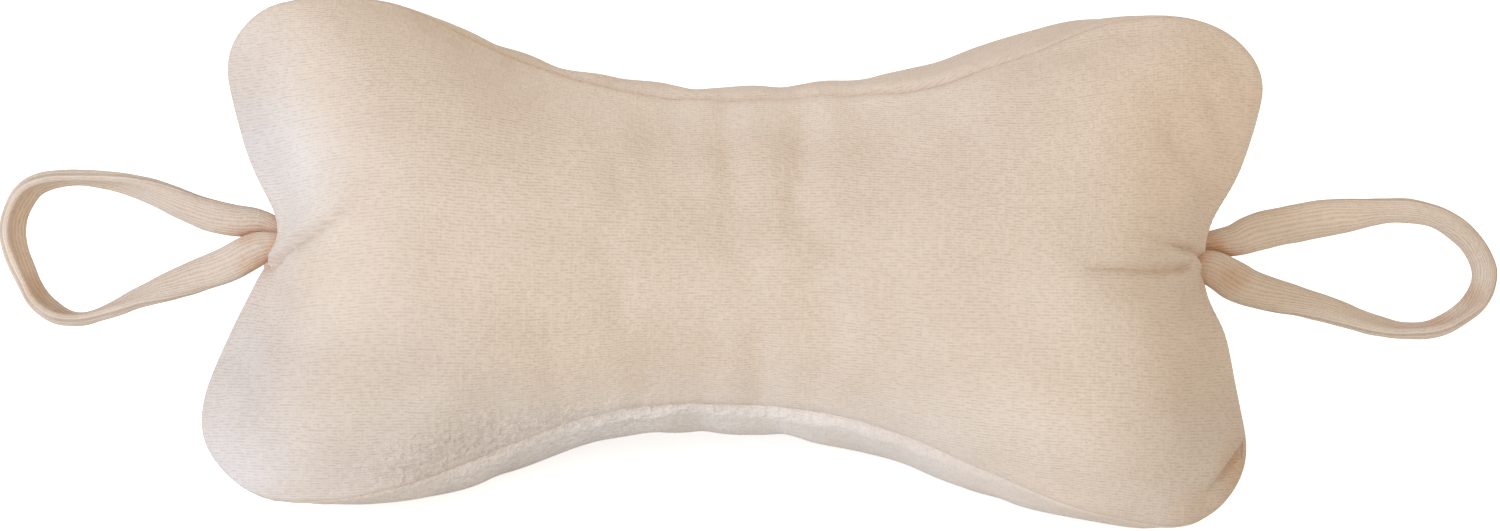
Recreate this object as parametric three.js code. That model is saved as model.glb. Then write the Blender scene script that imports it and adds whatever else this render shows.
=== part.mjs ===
// A bone-shaped neck pillow: three velour panels sewn edge to edge round a fibre filling, with a
// fabric loop caught in the point where the seams meet at each end.
//
// Millimetres, +Z up. X runs along the pillow, from loop to loop. The origin is under the pillow's
// centre, on the surface it rests on: it lies on bottom_panel, with the ridge seam on top.
//
// Every soft surface comes from two profiles, each drawn as (distance along X, distance from the axis):
// the seam profile, which the three seams follow, and the crown profile, which is the middle line of a
// panel. A panel's section is the circular arc from one seam over the crown to the next seam.

import * as THREE from "three";

// ---- Driving dimensions ----
const WAIST_RADIUS = 64.8; // the narrow middle is a round bolster
const LOBE_HEIGHT = 103; // axis to the top of a lobe, along its seam
const LOBE_X = 151; // where along X a lobe is highest
const LOBE_RADIUS = 35.5; // rounding of a lobe, seen square to its seam
const CROWN_HEIGHT = 78; // axis to the fullest part of a panel's middle
const CROWN_X = 112; // where along X that is
const NOTCH_X = 174.3; // where the three seams meet
const AXIS_HEIGHT = 71; // the fullest parts of the bottom panel are pressed flat below this

const CLOTH = 2; // velour, with its pile
const ALLOWANCE = 8; // turned-in edge of a panel
const SEAM_GROOVE = 1.2; // how far the seam pulls the cloth below the surface
const CLEARANCE = 0.3; // between any two pieces
const THREAD_RADIUS = 0.35;

const TUBE_WIDTH = 11; // the loop's tube, measured in the plane of the loop
const TUBE_THICKNESS = 8;
const TUBE_WALL = 1.8;
const TUBE_SEAM_GROOVE = 1.4;
const LOOP_REACH = 102.5; // notch to the middle of the tube at the loop's far end
const LOOP_SPREAD = 23.5; // half the distance between the two legs where they are furthest apart
const LOOP_LEAN = THREE.MathUtils.degToRad(30); // the loops lie parallel to front_panel
const PIVOT_REACH = 3.2; // notch to the point that a loop swings and lifts about
const ROOT_RADIUS = 3.1; // the loop's root is rounded about the line that it folds at
const ROOT_LENGTH = 13;

const PANELS = 3;
const HALF_PANEL_ANGLE = Math.PI / PANELS;

const material = (color, roughness) => new THREE.MeshStandardMaterial({ color, roughness, metalness: 0 });
const velour = material(0xdccdbb, 0.95);
const thread = material(0xd3c0aa, 0.7);
const fibre = material(0xf4f2ee, 1);

// ---- Profiles, each in three matching stretches: flank, shoulder and end face ----
const v2 = (x, y) => new THREE.Vector2(x, y);
const bezier = (...points) => new THREE.CubicBezierCurve(...points);

const TIP_X = LOBE_X + LOBE_RADIUS;
const TIP_HEIGHT = LOBE_HEIGHT - LOBE_RADIUS;
const SEAM_PROFILE = [
  bezier(v2(0, WAIST_RADIUS), v2(84, WAIST_RADIUS), v2(97, LOBE_HEIGHT), v2(LOBE_X, LOBE_HEIGHT)),
  new THREE.EllipseCurve(LOBE_X, TIP_HEIGHT, LOBE_RADIUS, LOBE_RADIUS, Math.PI / 2, 0, true),
  bezier(v2(TIP_X, TIP_HEIGHT), v2(TIP_X, 44), v2(178, 18), v2(NOTCH_X, 0)),
];
const SHOULDER_END = v2(158, 42);
const CROWN_PROFILE = [
  bezier(v2(0, WAIST_RADIUS), v2(52, WAIST_RADIUS), v2(68, CROWN_HEIGHT), v2(CROWN_X, CROWN_HEIGHT)),
  bezier(v2(CROWN_X, CROWN_HEIGHT), v2(134, CROWN_HEIGHT), v2(150, 62), SHOULDER_END),
  bezier(SHOULDER_END, v2(164, 26), v2(169, 14), v2(NOTCH_X, 0)),
];

// A point on a profile: s is 0 at the waist, 1 at the right notch and -1 at the left one.
function profilePoint(profile, s) {
  const along = Math.min(Math.abs(s), 0.99999) * profile.length;
  const stretch = Math.floor(along);
  const point = profile[stretch].getPointAt(along - stretch);
  return v2(Math.sign(s) * point.x, point.y);
}

// The direction into the pillow, square to the seam and in the seam's own plane.
function seamInward(s) {
  const step = 1e-3;
  const ahead = profilePoint(SEAM_PROFILE, s + step);
  const behind = profilePoint(SEAM_PROFILE, s - step);
  const tangent = ahead.sub(behind).normalize();
  return v2(tangent.y, -tangent.x);
}

// ---- Panel surface, in the panel's own frame: +Z through its crown, Y from seam to seam ----
// t is -1 and 1 at the two seams and 0 on the crown line.
function panelSurface(s, t) {
  const seam = profilePoint(SEAM_PROFILE, s);
  const crown = profilePoint(CROWN_PROFILE, s);
  const halfChord = seam.y * Math.sin(HALF_PANEL_ANGLE);
  const chordHeight = seam.y * Math.cos(HALF_PANEL_ANGLE);
  const rise = crown.y - chordHeight;
  const halfArc = 2 * Math.atan2(rise, halfChord);
  const x = crown.x + (seam.x - crown.x) * t * t;
  if (Math.abs(halfArc) < 1e-3) {
    return new THREE.Vector3(x, halfChord * t, chordHeight + rise * (1 - t * t));
  }
  const radius = halfChord / Math.sin(halfArc);
  const height = chordHeight + radius * (Math.cos(t * halfArc) - Math.cos(halfArc));
  return new THREE.Vector3(x, radius * Math.sin(t * halfArc), height);
}

function panelNormal(s, t) {
  const step = 1e-3;
  const alongX = panelSurface(s + step, t).sub(panelSurface(s - step, t));
  const across = panelSurface(s, t + step).sub(panelSurface(s, t - step));
  return alongX.cross(across).normalize();
}

// A point of the panel's edge: `depth` below the seam line, `aside` from the seam's plane.
function edgePoint(s, side, depth, aside) {
  const seam = profilePoint(SEAM_PROFILE, s).addScaledVector(seamInward(s), depth);
  const up = Math.cos(HALF_PANEL_ANGLE);
  const out = Math.sin(HALF_PANEL_ANGLE);
  return new THREE.Vector3(seam.x, side * (seam.y * out - aside * up), seam.y * up + aside * out);
}

// Points across a panel at `depth` below its surface, from near one seam to near the other.
function acrossPanel(s, depth, ceiling) {
  const halfChord = profilePoint(SEAM_PROFILE, s).y * Math.sin(HALF_PANEL_ANGLE);
  const widest = Math.min(0.88, 1 - (CLOTH + 1.6) / halfChord);
  return Array.from({ length: STEPS_ACROSS + 1 }, (_, i) => {
    const t = widest * ((2 * i) / STEPS_ACROSS - 1);
    const point = panelSurface(s, t).addScaledVector(panelNormal(s, t), -depth);
    point.z = Math.min(point.z, ceiling - depth);
    return point;
  });
}

// ---- Closed solids from rings of points ----
// Each ring is a closed loop with the same count of points; endCap(ring) gives a cap's triangles.
function loft(rings, endCap) {
  const size = rings[0].length;
  const triangles = [];
  for (let r = 0; r + 1 < rings.length; r++) {
    for (let i = 0; i < size; i++) {
      const j = (i + 1) % size;
      const [a, b, c, d] = [rings[r][i], rings[r][j], rings[r + 1][j], rings[r + 1][i]];
      if (a.distanceTo(c) < b.distanceTo(d)) triangles.push([a, c, b], [a, d, c]);
      else triangles.push([a, d, b], [b, d, c]);
    }
  }
  triangles.push(...endCap(rings[0], 0));
  for (const [a, b, c] of endCap(rings.at(-1), 1)) triangles.push([a, c, b]);
  return new THREE.BufferGeometry().setFromPoints(triangles.flat());
}

// The caps of a ring whose second half is its first half again, one wall thickness further in.
function wallCap(ring) {
  const last = ring.length - 1;
  const triangles = [];
  for (let i = 0; i < ring.length / 2 - 1; i++) {
    triangles.push([ring[i], ring[i + 1], ring[last - i - 1]], [ring[i], ring[last - i - 1], ring[last - i]]);
  }
  return triangles;
}

// The panels and the filling share these stations and steps across, so their facets stay parallel.
const STATION_STEP = 1 / 16;
const STEPS_ACROSS = 8;

function stations(stepsEachWay) {
  return Array.from({ length: 2 * stepsEachWay + 1 }, (_, i) => (i - stepsEachWay) * STATION_STEP);
}

// ---- Panels ----
const PANEL_STEPS = 15; // the panels stop here, leaving the hole that the loop's ends pass through
const PANEL_REACH = PANEL_STEPS * STATION_STEP;
const SEAM_ASIDE = CLEARANCE / 2;

// One panel with its two edges turned in. Where it is pressed flat, it stays below `ceiling`.
function panelGeometry(ceiling = Infinity) {
  const side = SEAM_ASIDE + CLOTH;
  const rings = stations(PANEL_STEPS).map((s) => {
    const outer = [
      edgePoint(s, -1, SEAM_GROOVE + ALLOWANCE, SEAM_ASIDE),
      edgePoint(s, -1, SEAM_GROOVE, SEAM_ASIDE),
      ...acrossPanel(s, 0, ceiling),
      edgePoint(s, 1, SEAM_GROOVE, SEAM_ASIDE),
      edgePoint(s, 1, SEAM_GROOVE + ALLOWANCE, SEAM_ASIDE),
    ];
    const inner = [
      edgePoint(s, -1, SEAM_GROOVE + ALLOWANCE, side),
      edgePoint(s, -1, SEAM_GROOVE + CLOTH, side),
      ...acrossPanel(s, CLOTH, ceiling),
      edgePoint(s, 1, SEAM_GROOVE + CLOTH, side),
      edgePoint(s, 1, SEAM_GROOVE + ALLOWANCE, side),
    ];
    return [...outer, ...inner.reverse()];
  });
  return loft(rings, wallCap);
}

// ---- Filling: the inside of the panels, grooved for their turned-in edges, hollow at both ends ----
const FILLING_STEPS = 13;
const POCKET_X = 138; // the bottom of the pocket that holds a loop's sewn-in ends

function fillingGeometry() {
  const depth = CLOTH + CLEARANCE;
  const aside = SEAM_ASIDE + CLOTH + CLEARANCE;
  const grooveTop = SEAM_GROOVE + CLOTH + 2 * CLEARANCE;
  const grooveFoot = SEAM_GROOVE + ALLOWANCE + CLEARANCE;
  const xAxis = new THREE.Vector3(1, 0, 0);
  const rings = stations(FILLING_STEPS).map((s) =>
    Array.from({ length: PANELS }, (_, k) => {
      const facesDown = k === 0;
      const third = [
        edgePoint(s, -1, grooveFoot, aside),
        edgePoint(s, -1, grooveTop, aside),
        ...acrossPanel(s, depth, facesDown ? AXIS_HEIGHT : Infinity),
        edgePoint(s, 1, grooveTop, aside),
        edgePoint(s, 1, grooveFoot, aside),
      ];
      const turn = Math.PI - (k * 2 * Math.PI) / PANELS;
      return third.map((point) => point.applyAxisAngle(xAxis, turn));
    }).flat(),
  );
  const pocketCap = (ring, end) => {
    const centre = new THREE.Vector3(end ? POCKET_X : -POCKET_X, 0, 0);
    return ring.map((point, i) => [point, ring[(i + 1) % ring.length], centre]);
  };
  return loft(rings, pocketCap);
}

// ---- Threads ----
function cord(curve, steps) {
  const r = THREAD_RADIUS;
  const section = new THREE.Shape([v2(r, 0), v2(0, r), v2(-r, 0), v2(0, -r)]);
  return new THREE.ExtrudeGeometry(section, { steps, extrudePath: curve, bevelEnabled: false });
}

const THREAD_DEPTH = 0.2; // the thread lies in the groove of the seam

// The thread of a machine seam between two stations, in the XZ plane.
function seamThreadGeometry(from, to) {
  const count = Math.ceil(Math.abs(to - from) * 20);
  const points = Array.from({ length: count + 1 }, (_, i) => {
    const s = from + ((to - from) * i) / count;
    const place = profilePoint(SEAM_PROFILE, s).addScaledVector(seamInward(s), THREAD_DEPTH);
    return new THREE.Vector3(place.x, 0, place.y);
  });
  return cord(new THREE.CatmullRomCurve3(points), 2 * count);
}

// The hand-sewn ladder stitch over the opening that the pillow is stuffed through.
const CLOSING_HALF_LENGTH = 50;
const CLOSING_STITCHES = 14;
const CLOSING_HALF_WIDTH = 1.6;
const CLOSING_REACH = 0.118; // the station where the machine seam starts again beside the opening

function closingStitchGeometry() {
  const points = Array.from({ length: CLOSING_STITCHES + 1 }, (_, i) => {
    const x = CLOSING_HALF_LENGTH * 0.72 * ((2 * i) / CLOSING_STITCHES - 1);
    const s = (x / CLOSING_HALF_LENGTH) * CLOSING_REACH;
    const height = profilePoint(SEAM_PROFILE, s).y - THREAD_DEPTH;
    return new THREE.Vector3(x, (i % 2 ? 1 : -1) * CLOSING_HALF_WIDTH, height);
  });
  return cord(new THREE.CatmullRomCurve3(points, false, "catmullrom", 0.2), 4 * CLOSING_STITCHES);
}

// ---- Loops, each in its own frame: origin at the notch, +X outwards, the loop in the XZ plane ----
// One leg runs out, the tube turns at the far end, and the other leg runs back.
function loopCurve() {
  const leg = [
    [8.6, 6.1],
    [24, 11],
    [48, 18.4],
    [73, LOOP_SPREAD],
    [93, 17],
  ];
  const back = leg.map(([x, z]) => [x, -z]).reverse();
  const points = [...leg, [LOOP_REACH, 0], ...back];
  return new THREE.CatmullRomCurve3(points.map(([x, z]) => new THREE.Vector3(x, 0, z)));
}

// Half-height of the tube's section at a place across it, as an ellipse.
const tubeHalfWidth = (across) => (TUBE_WIDTH / 2) * Math.sqrt(1 - (2 * across / TUBE_THICKNESS) ** 2);

function loopGeometry() {
  const groove = 1.3; // half the width of the groove that the tube's own seam lies in
  const outline = new THREE.Shape();
  const start = Math.acos((2 * groove) / TUBE_THICKNESS);
  const turns = 10;
  for (let i = 0; i <= turns; i++) {
    const angle = Math.PI - start + (i / turns) * (Math.PI + 2 * start);
    const point = v2((TUBE_THICKNESS / 2) * Math.cos(angle), (TUBE_WIDTH / 2) * Math.sin(angle));
    if (i === 0) outline.moveTo(point.x, point.y);
    else outline.lineTo(point.x, point.y);
  }
  outline.lineTo(0, tubeHalfWidth(0) - TUBE_SEAM_GROOVE);
  outline.closePath();
  const hollow = new THREE.Path();
  const hollowWidth = TUBE_WIDTH / 2 - TUBE_WALL - TUBE_SEAM_GROOVE / 2;
  hollow.absellipse(0, -TUBE_SEAM_GROOVE / 2, TUBE_THICKNESS / 2 - TUBE_WALL, hollowWidth, 0, 2 * Math.PI);
  outline.holes.push(hollow);
  return new THREE.ExtrudeGeometry(outline, {
    steps: 34,
    curveSegments: 4,
    extrudePath: loopCurve(),
    bevelEnabled: false,
  });
}

// The thread of the tube's lengthwise seam, in the groove on the inside of the loop.
function loopSeamGeometry() {
  const curve = loopCurve();
  const inset = tubeHalfWidth(0) - TUBE_SEAM_GROOVE + THREAD_RADIUS + CLEARANCE + 0.1;
  const count = 34;
  const points = Array.from({ length: count - 1 }, (_, i) => {
    const u = (i + 1) / count;
    const tangent = curve.getTangentAt(u);
    const inwards = new THREE.Vector3(tangent.z, 0, -tangent.x);
    return curve.getPointAt(u).addScaledVector(inwards, inset);
  });
  return cord(new THREE.CatmullRomCurve3(points), 2 * count);
}

// The loop's two ends, side by side, where they are caught inside the pillow.
function loopEndsGeometry() {
  const halfHeight = 6.2;
  const halfThickness = 3;
  const length = 12;
  const depth = 2.6; // how far inside the notch they start, clear of the root as it turns
  const outline = new THREE.Shape();
  outline.moveTo(-halfThickness, -halfHeight + halfThickness);
  outline.absarc(0, -halfHeight + halfThickness, halfThickness, Math.PI, 2 * Math.PI);
  outline.absarc(0, halfHeight - halfThickness, halfThickness, 0, Math.PI);
  outline.closePath();
  const geometry = new THREE.ExtrudeGeometry(outline, { depth: length, curveSegments: 4, bevelEnabled: false });
  return geometry.rotateX(Math.PI / 2).rotateZ(Math.PI / 2).translate(-length - depth, 0, 0).rotateX(Math.PI);
}

// The bar of cloth where the loop's two legs are tacked together. The loop folds along it.
function loopRootGeometry() {
  return new THREE.CapsuleGeometry(ROOT_RADIUS, ROOT_LENGTH - 2 * ROOT_RADIUS, 3, 10).rotateX(Math.PI / 2);
}

// ---- Assembly ----
function mesh(name, geometry, surface, angle = 0) {
  const made = new THREE.Mesh(geometry, surface);
  made.name = name;
  made.rotation.x = angle;
  return made;
}

function loop(side, sign) {
  const group = new THREE.Group();
  group.position.x = sign * NOTCH_X;
  group.rotation.set(-LOOP_LEAN, 0, sign > 0 ? 0 : Math.PI);
  const root = mesh(`${side}_loop_root`, loopRootGeometry(), velour);
  root.position.x = PIVOT_REACH;
  group.add(
    mesh(`${side}_loop`, loopGeometry(), velour),
    mesh(`${side}_loop_seam_thread`, loopSeamGeometry(), thread),
    mesh(`${side}_loop_ends`, loopEndsGeometry(), velour),
    root,
  );
  return group;
}

const THIRD_TURN = (2 * Math.PI) / PANELS;
const pillow = new THREE.Group();
pillow.position.z = AXIS_HEIGHT;
pillow.add(
  mesh("front_panel", panelGeometry(), velour, THIRD_TURN / 2),
  mesh("rear_panel", panelGeometry(), velour, -THIRD_TURN / 2),
  mesh("bottom_panel", panelGeometry(AXIS_HEIGHT), velour, Math.PI),
  mesh("filling", fillingGeometry(), fibre),
  mesh("ridge_seam_thread", seamThreadGeometry(-PANEL_REACH, PANEL_REACH), thread),
  mesh("front_seam_thread", seamThreadGeometry(-PANEL_REACH, PANEL_REACH), thread, THIRD_TURN),
  mesh("rear_seam_thread_left", seamThreadGeometry(-PANEL_REACH, -CLOSING_REACH), thread, -THIRD_TURN),
  mesh("rear_seam_thread_right", seamThreadGeometry(CLOSING_REACH, PANEL_REACH), thread, -THIRD_TURN),
  mesh("closing_stitch", closingStitchGeometry(), thread, -THIRD_TURN),
  loop("left", -1),
  loop("right", 1),
);

export default new THREE.Group().add(pillow);
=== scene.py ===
"""Looks for a bone-shaped velour neck pillow with a fabric loop at each end.

Metres, in the CAD frame: +X along the pillow, +Z up, the origin on the surface under its centre.
"""

import math

import bpy
import numpy as np
from mathutils import Matrix, Vector, noise
from mathutils.bvhtree import BVHTree


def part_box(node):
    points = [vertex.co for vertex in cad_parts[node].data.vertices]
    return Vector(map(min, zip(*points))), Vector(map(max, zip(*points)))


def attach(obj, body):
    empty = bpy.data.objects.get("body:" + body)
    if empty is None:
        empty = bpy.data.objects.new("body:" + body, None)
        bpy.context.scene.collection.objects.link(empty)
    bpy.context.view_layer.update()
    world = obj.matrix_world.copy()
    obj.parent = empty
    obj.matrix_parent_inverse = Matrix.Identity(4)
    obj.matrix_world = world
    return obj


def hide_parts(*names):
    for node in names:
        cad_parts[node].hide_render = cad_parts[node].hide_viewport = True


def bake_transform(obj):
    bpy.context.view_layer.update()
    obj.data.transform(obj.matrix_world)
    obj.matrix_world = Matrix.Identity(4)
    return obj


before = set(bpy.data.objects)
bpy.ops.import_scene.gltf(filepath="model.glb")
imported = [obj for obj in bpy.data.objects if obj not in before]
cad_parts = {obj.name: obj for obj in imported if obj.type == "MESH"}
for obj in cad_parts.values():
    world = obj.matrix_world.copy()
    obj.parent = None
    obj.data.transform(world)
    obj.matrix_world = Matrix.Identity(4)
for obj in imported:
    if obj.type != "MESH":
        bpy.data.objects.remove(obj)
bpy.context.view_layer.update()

MM = 0.001

# ---- Where the CAD puts things ----
ROOT_LOW, ROOT_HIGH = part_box("right_loop_root")
AXIS_Z = (ROOT_LOW.z + ROOT_HIGH.z) / 2
PIVOT_X = (ROOT_LOW.x + ROOT_HIGH.x) / 2
ROOT_REACH = 3.2 * MM  # from the notch, where the seams meet, to the line that a loop folds at
NOTCH_X = PIVOT_X - ROOT_REACH
TIP_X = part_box("front_seam_thread")[1].x
LOBE_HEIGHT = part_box("ridge_seam_thread")[1].z - AXIS_Z

# ---- The pillow's two profiles: along the seams, and along the panels' middles (the crowns) ----
WAIST_RADIUS = 64.8 * MM
LOBE_RADIUS = 35.5 * MM
CROWN_HEIGHT = 78 * MM
CROWN_X = 112 * MM
SHOULDER_X = 158 * MM
SHOULDER_HEIGHT = 42 * MM
LOBE_X = TIP_X - LOBE_RADIUS
TIP_HEIGHT = LOBE_HEIGHT - LOBE_RADIUS
HALF_PANEL = math.pi / 3
FRONT_TURN = math.pi / 3
PANEL_TURNS = {"front_panel": FRONT_TURN, "rear_panel": -FRONT_TURN, "bottom_panel": math.pi}

# ---- The plane that the loops lie in: parallel to the front panel ----
PLANE_TILT = math.radians(30)
ALONG = np.array([1.0, 0.0, 0.0])
PLANE_UP = np.array([0.0, math.sin(PLANE_TILT), math.cos(PLANE_TILT)])
PLANE_OUT = np.array([0.0, -math.cos(PLANE_TILT), math.sin(PLANE_TILT)])
AXIS_POINT = np.array([0.0, 0.0, AXIS_Z])


def smoothstep(low, high, value):
    t = np.clip((value - low) / (high - low), 0, 1)
    return t * t * (3 - 2 * t)


def bell(value, width):
    return np.exp(-((value / width) ** 2))


def unit(vectors):
    return vectors / np.linalg.norm(vectors, axis=-1, keepdims=True)


def distance_along(line):
    """How far each point of a line is from its start, along the line."""
    steps = np.linalg.norm(np.diff(line, axis=0), axis=1)
    return np.concatenate([[0], np.cumsum(steps)])


PROFILE_STEPS = 201


def bezier(p0, p1, p2, p3):
    t = np.linspace(0, 1, PROFILE_STEPS)[:, None]
    p0, p1, p2, p3 = (np.array(p, float) for p in (p0, p1, p2, p3))
    return (1 - t) ** 3 * p0 + 3 * (1 - t) ** 2 * t * p1 + 3 * (1 - t) * t**2 * p2 + t**3 * p3


def quarter_circle(centre, radius):
    a = np.linspace(math.pi / 2, 0, PROFILE_STEPS)
    return np.stack([centre[0] + radius * np.cos(a), centre[1] + radius * np.sin(a)], 1)


# Points are (distance along X, distance from the axis). The two profiles' stretches match one to one.
SEAM_STRETCHES = [
    bezier((0, WAIST_RADIUS), (0.084, WAIST_RADIUS), (0.097, LOBE_HEIGHT), (LOBE_X, LOBE_HEIGHT)),
    quarter_circle((LOBE_X, TIP_HEIGHT), LOBE_RADIUS),
    bezier((TIP_X, TIP_HEIGHT), (TIP_X, 0.044), (0.178, 0.018), (NOTCH_X, 0)),
]
CROWN_STRETCHES = [
    bezier((0, WAIST_RADIUS), (0.052, WAIST_RADIUS), (0.068, CROWN_HEIGHT), (CROWN_X, CROWN_HEIGHT)),
    bezier((CROWN_X, CROWN_HEIGHT), (0.134, CROWN_HEIGHT), (0.150, 0.062), (SHOULDER_X, SHOULDER_HEIGHT)),
    bezier((SHOULDER_X, SHOULDER_HEIGHT), (0.164, 0.026), (0.169, 0.014), (NOTCH_X, 0)),
]


def profile(stretches, s):
    """Points of a profile at s: 0 at the waist, 1 at the right notch, -1 at the left one."""
    along = np.clip(np.abs(s), 0, 0.99999) * len(stretches)
    which = along.astype(int)
    x = np.zeros_like(along)
    y = np.zeros_like(along)
    for k, points in enumerate(stretches):
        length = distance_along(points)
        here = which == k
        target = (along[here] - k) * length[-1]
        x[here] = np.interp(target, length, points[:, 0])
        y[here] = np.interp(target, length, points[:, 1])
    return np.sign(s) * x, y


FLATTEST = 1e-3  # a panel's section is never flatter than this share of its half width


def panel_surface(s, t):
    """A panel's smooth surface in its own frame, +Z through the crown, and half its width at each s.

    T runs from -1 at one seam to 1 at the other. Each section is an arc.
    """
    seam_x, seam_r = profile(SEAM_STRETCHES, s)
    crown_x, crown_r = profile(CROWN_STRETCHES, s)
    half_chord = seam_r * math.sin(HALF_PANEL)
    chord_height = seam_r * math.cos(HALF_PANEL)
    rise = crown_r - chord_height
    rise = np.where(np.abs(rise) < FLATTEST * half_chord, FLATTEST * half_chord, rise)
    half_arc = 2 * np.arctan2(rise, half_chord)
    radius = half_chord / np.sin(half_arc)
    x = crown_x + (seam_x - crown_x) * t * t
    y = radius * np.sin(t * half_arc)
    z = chord_height + radius * (np.cos(t * half_arc) - np.cos(half_arc))
    return np.stack([x, y, z], -1), np.abs(radius * half_arc)


SLOPE_STEP = 1e-3


def panel_normal(s, t):
    along = panel_surface(s + SLOPE_STEP, t)[0] - panel_surface(s - SLOPE_STEP, t)[0]
    across = panel_surface(s, t + SLOPE_STEP)[0] - panel_surface(s, t - SLOPE_STEP)[0]
    return unit(np.cross(along, across))


def seam_frame(s, side):
    """At a panel's edge, in its frame: the seam point, the way in, and the way off the seam's plane."""
    x, r = profile(SEAM_STRETCHES, s)
    ahead = np.stack(profile(SEAM_STRETCHES, s + SLOPE_STEP), -1)
    behind = np.stack(profile(SEAM_STRETCHES, s - SLOPE_STEP), -1)
    tangent = unit(ahead - behind)
    out, up = math.sin(HALF_PANEL), math.cos(HALF_PANEL)
    point = np.stack([x, side * r * out, r * up], -1)
    inward = np.stack([tangent[..., 1], -side * tangent[..., 0] * out, -tangent[..., 0] * up], -1)
    aside = np.array([0.0, -side * up, out])
    return point, inward, aside


def turned(points, turn):
    """Points turned about the X axis, and lifted to the pillow's axis."""
    c, s = math.cos(turn), math.sin(turn)
    x, y, z = points[..., 0], points[..., 1], points[..., 2]
    return np.stack([x, c * y - s * z, s * y + c * z + AXIS_Z], -1)


# ---- Irregularities ----
SEED_SPACING = 17.31


def noise_at(points, size, seed):
    """Smooth noise from -1 to 1 at each point, with features of the given size."""
    flat = points.reshape(-1, 3) / size + seed * SEED_SPACING
    values = [noise.noise(Vector(p)) for p in flat]
    return np.array(values).reshape(points.shape[:-1])


# The whole pillow's unevenness, as (how far, size of the features, seed). Millimetres.
UNEVENNESS = [(1.6, 62, 1), (0.7, 23, 5)]


def uneven(points):
    """Moves points by the pillow's gentle unevenness, the same for every piece at one place."""
    moved = points.copy()
    for axis in range(3):
        for far, size, seed in UNEVENNESS:
            moved[..., axis] += far * MM * noise_at(points, size * MM, seed + axis)
    return moved


# Where the filling is packed fuller or slacker, each as: place and push, both as (along X, up in the
# loops' plane), and reach. Millimetres.
PUSHES = [
    ((-176, 40), (6.6, 0), 32),
    ((-95, 80), (0, -3.2), 36),
    ((-150, 100), (0, -1.6), 20),
    ((-195, -56), (-2.6, 0), 26),
    ((-12, -66), (0, 4.4), 58),
    ((15, 66), (0, 1.8), 30),
    ((124, 92), (0, 1.6), 18),
    ((194, 66), (3.8, 0), 30),
    ((165, -98), (0, -4.4), 34),
    ((190, -50), (-3.0, 0), 28),
    ((-173, 14), (4.8, 0), 13),
    ((-178, -12), (1.0, 0), 12),
    ((180, 17), (-2.2, 0), 10),
    ((180, -9), (-2.4, 0), 10),
]


def packed(points):
    """Pushes the body about gently, near each of a few places."""
    moved = points.copy()
    x = points[..., 0] / MM
    up = (points - AXIS_POINT) @ PLANE_UP / MM
    for (px, pu), (dx, du), reach in PUSHES:
        near = np.exp(-((x - px) ** 2 + (up - pu) ** 2) / reach**2)
        moved += (near * MM)[..., None] * (dx * ALONG + du * PLANE_UP)
    return moved


# Where the ridge seam wanders round the body: place along X in millimetres, degrees towards the back.
SEAM_SLIDES = [(-98, 8), (98, -7)]
SLIDE_LENGTH = 45 * MM
SLIDE_ANGLE = 0.8


def slid(points):
    """Slides the cloth round the body near the ridge seam, which isn't straight."""
    y, z = points[..., 1], points[..., 2] - AXIS_Z
    near = bell(np.arctan2(y, z), SLIDE_ANGLE)
    turn = np.zeros_like(y)
    for place, degrees in SEAM_SLIDES:
        turn += math.radians(degrees) * near * bell(points[..., 0] - place * MM, SLIDE_LENGTH)
    moved = points.copy()
    moved[..., 1] = np.cos(turn) * y + np.sin(turn) * z
    moved[..., 2] = np.cos(turn) * z - np.sin(turn) * y + AXIS_Z
    return moved


LEFT_NOTCH_LIFT = 3.4 * MM
RIGHT_NOTCH_LIFT = 2.6 * MM
LIFT_START_X = 120 * MM
LIFT_REACH = 34 * MM


def notch_lift(points):
    """The seams don't meet exactly in the middle of the front panel's plane."""
    x = points[..., 0]
    lift = np.where(x > 0, RIGHT_NOTCH_LIFT, LEFT_NOTCH_LIFT) * smoothstep(LIFT_START_X, NOTCH_X, np.abs(x))
    offset = points - AXIS_POINT
    offset[..., 0] = 0
    near = bell(np.linalg.norm(offset, axis=-1), LIFT_REACH)
    return points + (lift * near)[..., None] * PLANE_UP


FLOOR_SOFTNESS = 1.2 * MM


def rest_on_floor(points):
    """Presses the lowest part flat, softly at its rim."""
    pressed = points.copy()
    z = points[..., 2]
    pressed[..., 2] = 0.5 * (z + np.sqrt(z * z + FLOOR_SOFTNESS * FLOOR_SOFTNESS))
    return pressed


def settled(points):
    """Every piece of the pillow goes through the same unevenness, so that they stay together."""
    return rest_on_floor(packed(uneven(notch_lift(slid(points)))))


# ---- Creases and puckers in the panels ----
def fold(x, h, start, end, width, depth, lip):
    """A crease from start to end on a panel, fading out over its second half.

    Lip 0 is a valley with soft shoulders. Lip 1 is a pleat: the cloth above the line stands over the
    cloth below.
    """
    x0, h0 = start[0] * MM, start[1] * MM
    dx, dh = end[0] * MM - x0, end[1] * MM - h0
    length = math.hypot(dx, dh)
    along = ((x - x0) * dx + (h - h0) * dh) / length
    beside = (-(x - x0) * dh + (h - h0) * dx) / length * math.copysign(1, dx)
    q = beside / (width * MM)
    fade_in = smoothstep(-0.15 * length, 0.12 * length, along)
    fade_out = 1 - smoothstep(0.5 * length, length, along)
    valley = 0.35 * bell(np.abs(q) - 1.7, 0.9) - bell(q, 0.8)
    ledge = 0.6 * np.tanh(q / 0.22) * np.exp(-np.abs(q) / 2)
    pleat = ledge - 0.4 * bell(q + 0.35, 0.4)
    return depth * MM * fade_in * fade_out * (lip * pleat + (1 - lip) * valley)


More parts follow.
